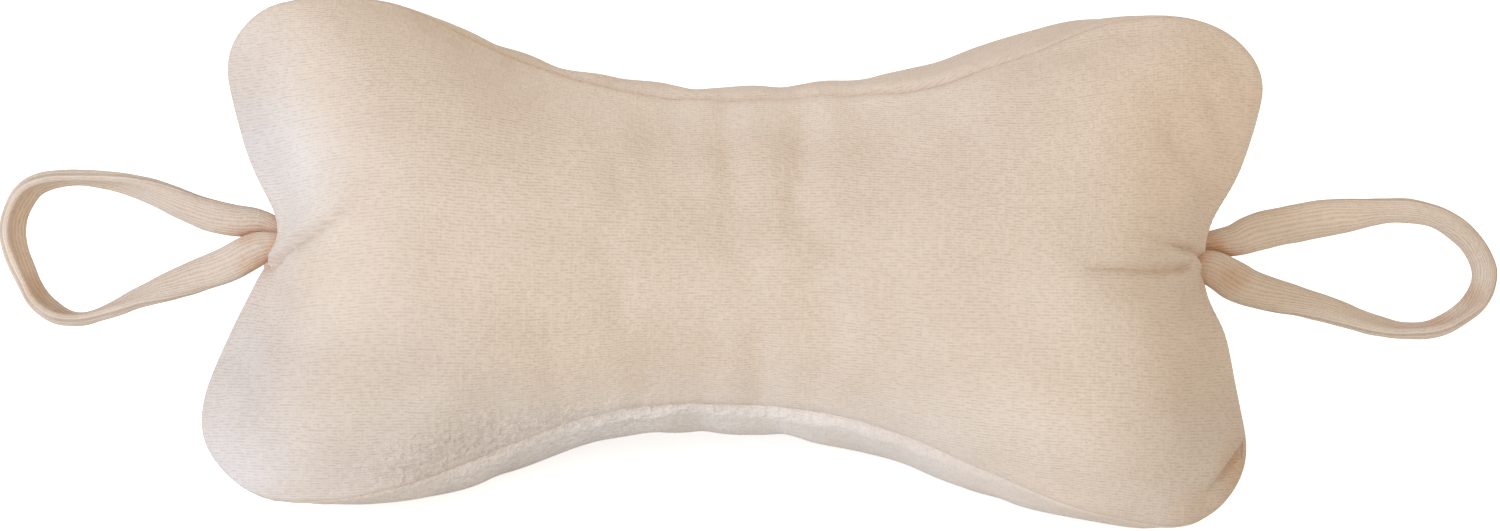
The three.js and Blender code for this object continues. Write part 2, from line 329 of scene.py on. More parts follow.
# Each: start and end as (along X, up the panel) in millimetres, width, depth, lip.
FRONT_FOLDS = [
    ((-176, -6), (-118, 18), 3.2, 3.8, 1),
    ((-176, -7), (-146, -16), 4.5, 1.0, 0),
    ((177, 1.2), (136, 11.0), 1.9, 2.2, 0.3),
    ((165, -1.0), (108, -5.0), 2.0, 2.6, 0.3),
    ((174, -4), (146, -24), 5.0, 1.0, 0),
    ((172, 22), (140, 58), 5.0, 1.1, 0.2),
    ((182, 34), (158, 70), 4.5, 1.0, 0.2),
    ((193, -54), (161, -81), 2.8, 3.2, 0.7),
    ((-178, -34), (-150, -66), 6.0, 0.8, 0),
    ((-6, 62), (2, 4), 6.0, 0.9, 0),
    ((26, 60), (20, 0), 6.0, 0.6, 0),
    ((-30, -60), (-24, -16), 8.0, 0.7, 0),
    ((12, -62), (8, -10), 6.0, 0.8, 0),
]
OTHER_FOLDS = [
    ((-176, 2), (-130, 12), 2.8, 2.0, 0.6),
    ((176, 2), (130, -10), 2.8, 2.0, 0.6),
    ((176, 4), (142, 22), 4.0, 1.2, 0.2),
    ((-174, -4), (-144, -24), 4.0, 1.2, 0.2),
    ((-14, 60), (-6, 6), 7.0, 0.9, 0),
    ((18, -60), (14, -8), 7.0, 0.9, 0),
]

PANEL_SEEDS = {"front_panel": 1, "rear_panel": 2, "bottom_panel": 3}
ROLL_HEIGHT = 0.4 * MM  # the cloth swells beside its seam
ROLL_GAP = 5.5 * MM
ROLL_WIDTH = 3.5 * MM
PUCKER_HEIGHT = 1.1 * MM  # and puckers, most at the waist
PUCKER_REACH = 9 * MM
PUCKER_WAIST = 75 * MM
SEAM_LENGTH = 306 * MM  # from the waist to a notch
FOLD_CLEARANCE = 3.5 * MM  # the folds fade out this near to a seam


def panel_relief(name, s, t, local, half_length):
    """How far the cloth stands above the panel's smooth shape, apart from the seam's groove."""
    gap = (1 - np.abs(t)) * half_length
    seed = PANEL_SEEDS[name]
    along_seam = np.stack([s * SEAM_LENGTH, np.sign(t) * 0.2, gap * 0.35], -1)
    pucker = noise_at(along_seam, 7 * MM, seed) + 0.5 * noise_at(along_seam, 3.6 * MM, seed + 3)
    reach = np.exp(-gap / PUCKER_REACH) * (1 - np.exp(-gap / (1.6 * MM)))
    x, h = local[..., 0], local[..., 1]
    gathered = 0.3 + 0.7 * bell(x, PUCKER_WAIST)
    relief = ROLL_HEIGHT * bell(gap - ROLL_GAP, ROLL_WIDTH) + PUCKER_HEIGHT * gathered * reach * pucker
    clear = 1 - bell(gap, FOLD_CLEARANCE)
    folds = FRONT_FOLDS if name == "front_panel" else OTHER_FOLDS
    for crease in folds:
        relief = relief + clear * fold(x, h, *crease)
    return relief


# ---- Meshes ----
def grid_faces(rows, columns):
    i, j = np.meshgrid(np.arange(rows - 1), np.arange(columns - 1), indexing="ij")
    a = (i * columns + j).ravel()
    return np.stack([a, a + 1, a + columns + 1, a + columns], 1)


SHARP_ANGLE = math.radians(50)


def sharpen(made):
    """Keeps the shading crisp where a tube is cut off square."""
    mesh = made.data
    normals = np.zeros(len(mesh.polygons) * 3)
    mesh.polygons.foreach_get("normal", normals)
    normals = normals.reshape(-1, 3)
    sides = {}
    for polygon in mesh.polygons:
        for key in polygon.edge_keys:
            sides.setdefault(key, []).append(polygon.index)
    for edge in mesh.edges:
        faces = sides.get(tuple(sorted(edge.vertices)), [])
        if len(faces) == 2 and normals[faces[0]] @ normals[faces[1]] < math.cos(SHARP_ANGLE):
            edge.use_edge_sharp = True


def new_object(name, vertices, faces, uv=None):
    mesh = bpy.data.meshes.new(name)
    mesh.from_pydata([tuple(v) for v in vertices], [], [tuple(int(i) for i in f) for f in faces])
    if uv is not None:
        layer = mesh.uv_layers.new(name="cloth")
        index = np.zeros(len(mesh.loops), int)
        mesh.loops.foreach_get("vertex_index", index)
        layer.data.foreach_set("uv", np.asarray(uv, np.float32)[index].ravel())
    mesh.polygons.foreach_set("use_smooth", [True] * len(mesh.polygons))
    mesh.update()
    made = bpy.data.objects.new(name, mesh)
    bpy.context.scene.collection.objects.link(made)
    return made


def closed_sheet(name, outer, inner, uv):
    """A sheet of cloth with thickness, from two grids of points."""
    rows, columns = outer.shape[:2]
    count = rows * columns
    top = grid_faces(rows, columns)
    bottom = grid_faces(rows, columns)[:, ::-1] + count
    corner = np.arange(count).reshape(rows, columns)
    rim = np.concatenate([corner[0, :-1], corner[:-1, -1], corner[-1, :0:-1], corner[:0:-1, 0]])
    following = np.roll(rim, -1)
    side = np.stack([following, rim, rim + count, following + count], 1)
    vertices = np.concatenate([outer.reshape(-1, 3), inner.reshape(-1, 3)])
    both = np.concatenate([uv.reshape(-1, 2)] * 2)
    faces = np.concatenate([top, bottom, side])
    return new_object(name, vertices, faces[:, ::-1], both)


def enclosed_volume(points, faces):
    """The volume inside the faces, negative if they face inwards."""
    triangles = [(face[0], a, b) for face in faces for a, b in zip(face[1:-1], face[2:])]
    corners = np.array(points)[np.array(triangles)]
    return (corners[:, 0] * np.cross(corners[:, 1], corners[:, 2])).sum() / 6


def rings_to_object(name, rings, along, girth):
    """A closed tube from its rings, each end closed with a fan."""
    rows, columns = rings.shape[:2]
    index = np.arange(rows * columns).reshape(rows, columns)
    following = np.roll(index, -1, axis=1)
    faces = np.stack([index[:-1], following[:-1], following[1:], index[1:]], -1).reshape(-1, 4).tolist()
    around = np.tile(np.arange(columns) / columns * girth, rows)
    uv = np.stack([np.repeat(along, columns), around], 1).tolist()
    vertices = rings.reshape(-1, 3).tolist()
    for end in (0, rows - 1):
        vertices.append(rings[end].mean(0).tolist())
        uv.append([float(along[end]), 0.0])
        centre = len(vertices) - 1
        for i in range(columns):
            a, b = int(index[end, i]), int(following[end, i])
            faces.append([b, a, centre] if end == 0 else [a, b, centre])
    if enclosed_volume(vertices, faces) < 0:
        faces = [face[::-1] for face in faces]
    made = new_object(name, vertices, faces, uv)
    sharpen(made)
    return made


# ---- The cloth simulation that wrinkles the body ----
PANEL_END = 0.985  # the panels stop just short of the notches
STEPS = ((84, 30, 36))
ACROSS = 124
COARSE_AROUND = np.linspace(-1, 1, 25)[:-1]
BODY_GIRTH = 400 * MM


def spaced(counts):
    """Stations from -1 to 1 with the given number of steps in each stretch of the profiles."""
    half = [0.0]
    for k, count in enumerate(counts):
        half += [(k + (i + 1) / count) / len(counts) for i in range(count)]
    half = [h for h in half if h < PANEL_END] + [PANEL_END]
    return np.array([-h for h in reversed(half[1:])] + half)


def body_rings(s):
    """Closed rings round the whole smooth body: the three panels' sections, joined edge to edge."""
    parts = []
    for name in ("bottom_panel", "rear_panel", "front_panel"):
        grid_s, grid_t = np.meshgrid(s, COARSE_AROUND, indexing="ij")
        local, _ = panel_surface(grid_s, grid_t)
        parts.append(turned(local, PANEL_TURNS[name])[:, ::-1])
    return np.concatenate(parts, axis=1)


def body_object(name, rings):
    """The body's rings made solid."""
    return rings_to_object(name, rings, np.arange(len(rings)) * MM, BODY_GIRTH)


def vertex_array(mesh):
    values = np.zeros(len(mesh.vertices) * 3)
    mesh.vertices.foreach_get("co", values)
    return values.reshape(-1, 3)


def smoothed(values, edges, rounds):
    """Values at a mesh's vertices, averaged with their neighbours again and again."""
    count = np.bincount(edges.ravel(), minlength=len(values))[:, None]
    for _ in range(rounds):
        total = np.zeros_like(values)
        np.add.at(total, edges[:, 0], values[edges[:, 1]])
        np.add.at(total, edges[:, 1], values[edges[:, 0]])
        values = 0.5 * values + 0.5 * total / count
    return values


def seam_distance(points):
    """How far each point lies from the nearest of the three seams, round the body."""
    y, z = points[:, 1], points[:, 2] - AXIS_Z
    around = np.degrees(np.arctan2(z, y)) - 90
    off = np.abs((around + 60) % 120 - 60)
    return np.hypot(y, z) * np.radians(off)


CLOTH_FACE = 4.5 * MM
CLOTH_FRAMES = 22
CLOTH_CAP = 6 * MM  # no point is kept further than this from where it started
CLOTH_FULLNESS = 1.03  # the volume blown up to, against the smooth body's
GATHERED_REACH = 5 * MM  # the cloth is shortened this near to a seam
PINNED_REACH = 11 * MM  # and held still this near to a notch
SWELLING_ROUNDS = 60
CLOTH_SETTINGS = {
    "quality": 6,
    "mass": 0.3,
    "tension_stiffness": 18,
    "compression_stiffness": 9,
    "shear_stiffness": 6,
    "bending_stiffness": 0.2,
    "use_pressure": True,
    "use_pressure_volume": True,
    "uniform_pressure_force": 0,
    "pressure_factor": 130,
    "vertex_group_shrink": "seam",
    "shrink_min": -0.018,
    "shrink_max": 0.03,
    "vertex_group_mass": "pin",
}


def even_sheet():
    """The smooth body as one closed sheet, with all its faces about the same size."""
    smooth_body = body_object("cloth_start", body_rings(spaced((22, 9, 10))))
    remesh = smooth_body.modifiers.new("even", "REMESH")
    remesh.mode = "VOXEL"
    remesh.voxel_size = CLOTH_FACE
    graph = bpy.context.evaluated_depsgraph_get()
    mesh = bpy.data.meshes.new_from_object(smooth_body.evaluated_get(graph))
    bpy.data.objects.remove(smooth_body)
    sheet = bpy.data.objects.new("cloth_sheet", mesh)
    bpy.context.scene.collection.objects.link(sheet)
    return sheet


def add_group(sheet, name, weights):
    group = sheet.vertex_groups.new(name=name)
    for i, weight in enumerate(weights):
        if weight > 0.01:
            group.add([i], float(weight), "REPLACE")


def blown_up(sheet, volume):
    """Where the sheet's points are after the simulation."""
    cloth = sheet.modifiers.new("cloth", "CLOTH")
    cloth.point_cache.frame_start = 1
    cloth.point_cache.frame_end = CLOTH_FRAMES
    for key, value in CLOTH_SETTINGS.items():
        setattr(cloth.settings, key, value)
    cloth.settings.target_volume = CLOTH_FULLNESS * volume
    cloth.settings.effector_weights.gravity = 0
    cloth.collision_settings.use_collision = False
    for step in range(1, CLOTH_FRAMES + 1):
        bpy.context.scene.frame_set(step)
    graph = bpy.context.evaluated_depsgraph_get()
    return vertex_array(sheet.evaluated_get(graph).data)


def inflate_body():
    """Sews the body as slack cloth on short seams, blows it up, and keeps the wrinkles that form.

    Returns the rest points, the faces and the wrinkle's offset at each point.
    """
    sheet = even_sheet()
    mesh = sheet.data
    rest = vertex_array(mesh)
    faces = [tuple(polygon.vertices) for polygon in mesh.polygons]
    start = uneven(rest)
    mesh.vertices.foreach_set("co", start.ravel())
    mesh.update()
    to_notch = np.linalg.norm(np.abs(rest - AXIS_POINT) - [NOTCH_X, 0, 0], axis=1)
    add_group(sheet, "seam", bell(seam_distance(rest), GATHERED_REACH))
    add_group(sheet, "pin", (to_notch < PINNED_REACH).astype(float))
    volume = abs(enclosed_volume(vertex_array(mesh), faces))
    offset = blown_up(sheet, volume) - start
    size = np.linalg.norm(offset, axis=1, keepdims=True)
    offset *= np.minimum(1, CLOTH_CAP / np.maximum(size, 1e-9))
    edges = np.zeros(len(mesh.edges) * 2, int)
    mesh.edges.foreach_get("vertices", edges)
    edges = edges.reshape(-1, 2)
    swelling = smoothed(offset, edges, SWELLING_ROUNDS)
    bpy.data.objects.remove(sheet)
    bpy.context.scene.frame_set(1)
    return rest, faces, smoothed(offset - swelling, edges, 1)


NEAR_CORNER = 0.4 * MM


def offsets_at(points, rest, faces, offset):
    """The wrinkles' offset at each of a grid of points, from the nearest face of the blown-up cloth."""
    tree = BVHTree.FromPolygons([tuple(p) for p in rest], faces)
    flat = points.reshape(-1, 3)
    found = np.zeros_like(flat)
    for k, p in enumerate(flat):
        place, _, index, _ = tree.find_nearest(Vector(p))
        corners = list(faces[index])
        distance = np.linalg.norm(rest[corners] - np.array(place), axis=1)
        weight = 1 / (distance**2 + NEAR_CORNER**2)
        found[k] = weight @ offset[corners] / weight.sum()
    grid = found.reshape(points.shape)
    for _ in range(3):
        grid[1:-1] = 0.5 * grid[1:-1] + 0.25 * (grid[2:] + grid[:-2])
        grid[:, 1:-1] = 0.5 * grid[:, 1:-1] + 0.25 * (grid[:, 2:] + grid[:, :-2])
    return grid


# ---- The panels' cloth ----
CLOTH = 1.6 * MM
ALLOWANCE = 6 * MM  # how far each panel's edge is turned in
SEAM_CLEARANCE = 0.15 * MM
SEAM_GROOVE = 1.2 * MM
GROOVE_WIDTH = 1.6 * MM
GROOVE_FALL = 1.3  # how sharply the groove ends
TURNING_WIDTH = 2.5 * MM  # how near to the seam the cloth starts to turn in
WRINKLE_DEPTH = 0.5
WRINKLE_GAP = 4 * MM


def across_values():
    """Stations from one seam to the other, closer together near the seams."""
    v = np.linspace(-1, 1, ACROSS + 1)
    return 0.4 * v + 0.6 * np.sin(v * math.pi / 2)


def cloth_face(s, t, gap, raised, normal, inner):
    """The outer or inner face of a panel: sunk at its seams, with the edges turned in."""
    groove = SEAM_GROOVE * np.exp(-((gap / GROOVE_WIDTH) ** GROOVE_FALL))
    near = np.exp(-gap / TURNING_WIDTH)[..., None]
    halves = []
    feet = []
    for side, column in ((-1, 0), (1, -1)):
        _, inward, aside = seam_frame(s, side)
        inwards = (1 - near) * -normal + near * inward
        sunk = raised + inwards * groove[..., None]
        if inner:
            sunk = sunk + inwards * CLOTH + near * aside * CLOTH
        halves.append(sunk)
        edge, inward, aside = seam_frame(s[:, column], side)
        depth = np.minimum(SEAM_GROOVE + ALLOWANCE, 0.75 * profile(SEAM_STRETCHES, s[:, column])[1])
        feet.append(edge + inward * depth[:, None] + aside * (CLOTH if inner else SEAM_CLEARANCE))
    points = np.where((t < 0)[..., None], *halves)
    return np.concatenate([feet[0][:, None], points, feet[1][:, None]], axis=1)


def cloth_uv(local, t, half_length):
    """Where each point lies on the flat cloth: along the pillow, and across it from the crown."""
    v = t * half_length
    v = np.concatenate([v[:, :1] - ALLOWANCE, v, v[:, -1:] + ALLOWANCE], axis=1)
    u = np.concatenate([local[:, :1, 0], local[..., 0], local[:, -1:, 0]], axis=1)
    return np.stack([u, v], -1)


def panel_piece(name, wrinkles):
    s, t = np.meshgrid(spaced(STEPS), across_values(), indexing="ij")
    turn = PANEL_TURNS[name]
    local, half_length = panel_surface(s, t)
    normal = panel_normal(s, np.clip(t, -0.995, 0.995))
    gap = (1 - np.abs(t)) * half_length
    relief = panel_relief(name, s, t, local, half_length)
    if wrinkles is not None:
        shift = offsets_at(turned(local, turn), *wrinkles)
        outward = turned(normal, turn) - AXIS_POINT
        height = (shift * outward).sum(-1)
        relief = relief + WRINKLE_DEPTH * height * (1 - bell(gap, WRINKLE_GAP))
    raised = local + normal * relief[..., None]
    outer = settled(turned(cloth_face(s, t, gap, raised, normal, inner=False), turn))
    inner = settled(turned(cloth_face(s, t, gap, raised, normal, inner=True), turn))
    return closed_sheet(name + "_cloth", outer, inner, cloth_uv(local, t, half_length))


# ---- Materials ----
MIX_FACTOR, MIX_A, MIX_B, MIX_RESULT = 0, 6, 7, 2  # a Mix node's sockets when it mixes colours


class Look:
    """A material with a Principled shader, and short ways to add nodes to it."""

    def __init__(self, name):
        self.material = bpy.data.materials.new(name)
        self.material.use_nodes = True
        self.tree = self.material.node_tree
        self.shader = self.tree.nodes["Principled BSDF"]
        self.position = self.add("NewGeometry").outputs["Position"]

    def feed(self, socket, value):
        """Gives an input a value, or another node's output."""
        if isinstance(value, bpy.types.NodeSocket):
            self.tree.links.new(value, socket)
        else:
            socket.default_value = value

    def add(self, kind, inputs=None, **settings):
        node = self.tree.nodes.new("ShaderNode" + kind)
        for key, value in settings.items():
            setattr(node, key, value)
        for key, value in (inputs or {}).items():
            self.feed(node.inputs[key], value)
        return node

    def calc(self, operation, *values):
        return self.add("Math", dict(enumerate(values)), operation=operation).outputs[0]

    def total(self, start, *terms):
        """The start value plus each term's value times its weight."""
        for value, weight in terms:
            start = self.calc("MULTIPLY_ADD", value, weight, start)
        return start

    def noise(self, scale, detail, at=None):
        inputs = {"Vector": self.position if at is None else at, "Scale": scale, "Detail": detail}
        return self.add("TexNoise", inputs).outputs["Fac"]

    def ramp(self, factor, low, high, ends=(0, 1)):
        """A colour that runs from low to high."""
        node = self.add("ValToRGB", {0: factor})
        for element, color, end in zip(node.color_ramp.elements, (low, high), ends):
            element.position = end
            element.color = (*color, 1)
        return node.outputs[0]

    def tinted(self, color, by, amount=1.0):
        """A colour multiplied by another, as far as the amount says."""
        inputs = {MIX_FACTOR: amount, MIX_A: color, MIX_B: by}
        node = self.add("Mix", inputs, data_type="RGBA", blend_type="MULTIPLY")
        return node.outputs[MIX_RESULT]

    def bump(self, height, **inputs):
        return self.add("Bump", {"Height": height, **inputs}).outputs[0]

    def shaded(self, inputs):
        """The material, with the shader's inputs set."""
        for key, value in inputs.items():
            self.feed(self.shader.inputs[key], value)
        return self.material


BEIGE = (0.70, 0.58, 0.47)
RIB_PITCH = 1.1 * MM
WALE_PITCH = 1.5 * MM
RIB_WANDER = 1.2 * MM
DASH_LENGTH = 2.2 * MM
DASH_WIDTH = 0.9 * MM
# how far the ambient occlusion looks for the creases and seams that get painted shade
CREASE_SHADE_REACH = 8 * MM
PATCH_FRONT = 45 * MM  # a patch's centre stands this far out from the loops' plane
PATCH_DEPTH = 95 * MM  # and reaches this far from it, towards the front and the back


def rib_gaps(look, uv, across, broken):
    """How deep the cloth is between its fine ribs, which wander a little and break up into dashes."""
    stretched = look.add("Mapping", {"Vector": uv, "Scale": (1 / DASH_LENGTH, 1 / DASH_WIDTH, 0)})
    inputs = {"Vector": stretched.outputs[0], "Scale": 1, "Detail": 2}
    dash_noise = look.add("TexNoise", inputs, noise_dimensions="2D").outputs["Fac"]
    inputs = {"Value": dash_noise, "From Min": 0.36, "From Max": 0.66, "To Min": 1 - broken}
    dashes = look.add("MapRange", inputs, interpolation_type="SMOOTHSTEP").outputs[0]
    ribs_at = look.total(across, (look.noise(90, 2), RIB_WANDER))
    ribs = look.calc("SINE", look.calc("MULTIPLY", ribs_at, 2 * math.pi / RIB_PITCH))
    gaps = look.calc("POWER", look.calc("MULTIPLY_ADD", ribs, 0.5, 0.5), 1.6)
    return look.calc("MULTIPLY", gaps, dashes)


def uneven_beige(look):
    """The cloth's colour, a little darker and warmer here and there."""
    stretched = look.add("Mapping", {"Vector": look.position, "Scale": (0.6, 1, 1)}).outputs[0]
    tone = look.total(0, (look.noise(46, 4, stretched), 0.55), (look.noise(13, 2), 0.45))
    dark = [c * k for c, k in zip(BEIGE, (0.93, 0.90, 0.87))]
    light = [c * 1.04 for c in BEIGE]
    return look.ramp(tone, dark, light, ends=(0.30, 0.70))


def loop_plane_place(look):
    """Places turned so that X and Z run along and up the loops' plane, and Y runs backwards from it."""
    location = (0, AXIS_Z * math.sin(PLANE_TILT), -AXIS_Z * math.cos(PLANE_TILT))
    inputs = {"Vector": look.position, "Rotation": (PLANE_TILT, 0, 0), "Location": location}
    return look.add("Mapping", inputs).outputs[0]


def patch_strength(look, plane, centre, reach):
    """1 in the middle of a patch, fading to 0 at its reach."""
    middle = (centre[0] * MM, -PATCH_FRONT, centre[1] * MM)
    scale = (1 / (reach[0] * MM), 1 / PATCH_DEPTH, 1 / (reach[1] * MM))
    location = [-m * k for m, k in zip(middle, scale)]
    spot = look.add("Mapping", {"Vector": plane, "Scale": scale, "Location": location})
    ball = look.add("TexGradient", {"Vector": spot.outputs[0]}, gradient_type="SPHERICAL")
    inputs = {"Value": ball.outputs["Fac"], "From Max": 0.8}
    return look.add("MapRange", inputs, interpolation_type="SMOOTHSTEP").outputs[0]


def painted_crease_shade(look):
    """Where shade is painted: 1 deep in a crease or a seam, 0 in the open."""
    hollow = look.add("AmbientOcclusion", {"Distance": CREASE_SHADE_REACH}, samples=6).outputs["AO"]
    inputs = {"Value": hollow, "From Min": 0.45, "From Max": 0.92, "To Min": 1, "To Max": 0}
    return look.add("MapRange", inputs).outputs[0]


def velour_material(name, rib_depth, broken, fluffy, crease_shade_color, light_and_pile_patches):
    """Knit velour: fine ribs with painted shade between them, short pile, a soft sheen, patches of painted
    light and shade, and warm painted shade in its creases and seams.

    Broken is how much the ribs break up into dashes, and fluffy how much the pile stands up.
    Each patch is a place where light or shade is painted into the colour, and where the pile may stand up
    more: its centre and reach in the loops' plane, in millimetres, the painted colour there against the
    rest, and how much more the pile stands up there.
    """
    look = Look(name)
    uv = look.add("UVMap", uv_map="cloth").outputs["UV"]
    split = look.add("SeparateXYZ", {0: uv}).outputs
    gaps = rib_gaps(look, uv, split[1], broken)
    wales = look.calc("SINE", look.calc("MULTIPLY", split[0], 2 * math.pi / WALE_PITCH))
    tufts = look.noise(420, 3)
    color = uneven_beige(look)
    plane = loop_plane_place(look)
    standing = fluffy
    for centre, reach, painted_light_color, lift in light_and_pile_patches:
        strength = patch_strength(look, plane, centre, reach)
        # Painted light or shade: the patch's colour multiplies the cloth's
        color = look.tinted(color, (*painted_light_color, 1), strength)
        standing = look.calc("MULTIPLY_ADD", strength, lift, standing)
    fluff = look.calc("MULTIPLY", look.calc("SUBTRACT", tufts, 0.5), standing)
    # The colour: painted shade in the gaps between the ribs, a faint change along the wales, and lighter or
    # darker at random with the pile's tufts
    level = look.total(1, (gaps, -0.10 * rib_depth), (wales, 0.010), (fluff, 0.5))
    grey = look.add("CombineColor", {0: level, 1: level, 2: level}).outputs[0]
    color = look.tinted(color, grey)
    # Painted shade: darker and warmer in the creases and seams that the ambient occlusion finds
    color = look.tinted(color, (*crease_shade_color, 1), painted_crease_shade(look))
    height = look.total(0, (gaps, -0.75 * rib_depth), (wales, 0.06), (look.noise(1500, 3), 0.8), (fluff, 13))
    return look.shaded(
        {
            "Base Color": color,
            "Normal": look.bump(height, Strength=0.55, Distance=0.35 * MM),
            "Roughness": look.total(0.84, (tufts, 0.12)),
            "Specular IOR Level": 0.12,
            "Sheen Weight": 0.35,
            "Sheen Roughness": 0.45,
            "Sheen Tint": (1.0, 0.95, 0.90, 1),
        }
    )


def thread_material():
    look = Look("thread")
    inputs = {"Vector": look.position, "Scale": 700}
    twist = look.add("TexWave", inputs, wave_type="BANDS", bands_direction="DIAGONAL").outputs["Fac"]
    return look.shaded(
        {
            "Base Color": look.ramp(twist, (0.56, 0.45, 0.35), (0.70, 0.59, 0.48)),
            "Normal": look.bump(twist, Distance=0.1 * MM),
            "Roughness": 0.7,
        }
    )


def fibre_material():
    look = Look("fibre")
    strands = look.noise(300, 6)
    return look.shaded(
        {
            "Base Color": look.ramp(strands, (0.74, 0.73, 0.70), (0.92, 0.91, 0.89)),
            "Normal": look.bump(strands, Distance=1 * MM),
            "Roughness": 1,
        }
    )


# Patches of painted light and shade on the body, some with pile that stands up more: lighter and cooler on
# the left lobe and along the bottom, where the key light falls; darker on the lower right, which faces away
# from it; warm painted shade in the fold at the lower right corner
BODY_LIGHT_AND_PILE_PATCHES = [
    ((-178, 24), (60, 40), (1.08, 1.20, 1.37), 0),
    ((-182, 58), (44, 44), (0.95, 0.98, 1.04), 0),
    ((-190, -50), (55, 75), (0.97, 1.05, 1.18), 0),
    ((-150, -88), (75, 32), (1.0, 1.05, 1.14), 0),
    ((-10, -66), (160, 32), (1.0, 1.06, 1.14), 0),
    ((6, 56), (110, 22), (1.09, 1.12, 1.15), 0),
    ((182, -82), (75, 60), (0.84, 0.85, 0.87), 0),
    ((162, 45), (75, 55), (1.08, 1.06, 1.04), 0),
    ((182, -73), (17, 17), (0.98, 0.85, 0.73), 0.3),
    ((166, -88), (20, 14), (0.98, 0.92, 0.85), 0),
    ((-118, -50), (75, 45), (0.90, 0.91, 0.93), 0),
    ((-96, -75), (42, 15), (1.0, 1.01, 1.03), 0.9),
    ((-64, -64), (50, 14), (1.0, 1.01, 1.03), 0.9),
    ((-34, -58), (42, 11), (1.0, 1.01, 1.03), 0.6),
]
# Painted light on the bottom panel: lighter and cooler along its front, where the low light falls; the pile
# also stands up more there
UNDER_LIGHT_AND_PILE_PATCHES = [
    ((-10, -66), (190, 60), (1.14, 1.25, 1.42), 0.2),
    ((-75, -66), (130, 60), (1.0, 1.02, 1.05), 0.7),
]
# Painted shade and light on the loops: warm brown shade where the tubes press together at the notches and in
# the hollow at the right loop's far end, painted light on the left loop's tip and the right loop's upper
# leg; some also make the pile stand up more
LOOP_LIGHT_AND_PILE_PATCHES = [
    ((-176, -3), (10, 8), (0.90, 0.76, 0.66), 0.3),
    ((-179, 7), (8, 5), (0.90, 0.76, 0.66), 0),
    ((183, -2), (12, 9), (0.88, 0.73, 0.62), 0.3),
    ((178, 10), (6, 5), (0.90, 0.76, 0.66), 0),
    ((-262, 2), (12, 40), (1.20, 1.17, 1.15), 0),
    ((-260, 14), (8, 11), (0.94, 0.84, 0.75), 0.2),
    ((-256, -12), (7, 10), (0.94, 0.84, 0.75), 0.2),
    ((232, 24), (60, 14), (1.14, 1.14, 1.14), 0),
    ((271, -6), (7, 8), (0.86, 0.72, 0.62), 0.2),
    ((258, -15), (10, 5), (0.88, 0.76, 0.66), 0),
]
# Each velour: rib depth, how broken the ribs are, how fluffy, the colour of the painted shade in its creases
# and seams, and its patches of painted light and shade and of raised pile
VELOUR = velour_material("velour", 1.2, 0.85, 0.15, (0.94, 0.83, 0.75), BODY_LIGHT_AND_PILE_PATCHES)
UNDER_VELOUR = velour_material("under_velour", 0.9, 0.85, 0.25, (0.95, 0.87, 0.80), UNDER_LIGHT_AND_PILE_PATCHES)
LOOP_VELOUR = velour_material("loop_velour", 1.7, 0.4, 0.2, (0.92, 0.70, 0.58), LOOP_LIGHT_AND_PILE_PATCHES)
THREAD = thread_material()
FIBRE = fibre_material()


def dress(piece, material):
    piece.data.materials.clear()
    piece.data.materials.append(material)
    return piece


# ---- The pillow's pieces ----
FILLING_INSET = 5.5 * MM  # from the panels' smooth surface
FILLING_END = 0.93  # as a share of the way to a notch
FILLING_LENGTH = 0.965  # against the body's
FILLING_FLOOR = 4 * MM


def build_panels():
    wrinkles = inflate_body()
    for name in PANEL_TURNS:
        material = UNDER_VELOUR if name == "bottom_panel" else VELOUR
        piece = dress(panel_piece(name, wrinkles), material)
        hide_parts(name)
        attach(piece, "pillow")


def build_filling():
    """The fibre inside: the body's shape again, a little smaller than the panels."""
    rings = body_rings(spaced((20, 8, 8)) * FILLING_END) - AXIS_POINT
    radius = np.linalg.norm(rings[..., 1:], axis=-1, keepdims=True)
    rings[..., 1:] *= np.maximum(0.3, 1 - FILLING_INSET / radius)
    rings = settled(rings * [FILLING_LENGTH, 1, 1] + AXIS_POINT)
    rings[..., 2] = np.maximum(rings[..., 2], FILLING_FLOOR)
    piece = dress(body_object("fibre_filling", rings), FIBRE)
    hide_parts("filling")
    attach(piece, "pillow")


# ---- Threads ----
THREAD_SIDES = 6
STEPS_PER_STITCH = 6


def rounded_curve(points, per_span=24):
    """A Catmull-Rom curve through the points."""
    p = np.array(points, float)
    p = np.concatenate([2 * p[:1] - p[1:2], p, 2 * p[-1:] - p[-2:-1]])
    t = (np.arange(per_span) / per_span)[:, None]
    spans = []
    for a, b, c, d in zip(p, p[1:], p[2:], p[3:]):
        square = (2 * a - 5 * b + 4 * c - d) * t * t
        cube = (3 * b - a - 3 * c + d) * t**3
        spans.append(0.5 * (2 * b + (c - a) * t + square + cube))
    return np.concatenate([*spans, p[-2:-1]])


def resampled(line, values, count):
    """A line, and the values that go with its points, at evenly spaced places along it."""
    length = distance_along(line)
    target = np.linspace(0, length[-1], count + 1)
    columns = np.concatenate([line, values], axis=1).T
    even = np.stack([np.interp(target, length, column) for column in columns], 1)
    return even[:, :3], even[:, 3:], target


def thread_piece(name, line, up, thickness):
    """A thread along a line: up is the way out of the cloth, and thickness the radius at each point."""
    side = unit(np.cross(unit(np.gradient(line, axis=0)), up))
    angle = np.arange(THREAD_SIDES) * 2 * math.pi / THREAD_SIDES
    ring = np.cos(angle)[None, :, None] * side[:, None] + np.sin(angle)[None, :, None] * up[:, None]
    rings = line[:, None] + thickness[:, None, None] * ring
    piece = rings_to_object(name, rings, distance_along(line), 2 * math.pi * thickness.max())
    return dress(piece, THREAD)


def lockstitch(name, curve, pitch, radius, lift):
    """A row of machine stitches along a curve: lift is the way out of the cloth at each point."""
    length = distance_along(curve)[-1]
    line, up, along = resampled(curve, lift, int(length / (pitch / STEPS_PER_STITCH)))
    hump = np.abs(np.sin(math.pi * along / pitch)) ** 0.6
    line = line + up * (radius * 0.9 * (hump - 0.6))[:, None]
    return thread_piece(name, line, up, radius * (0.5 + 0.5 * hump))


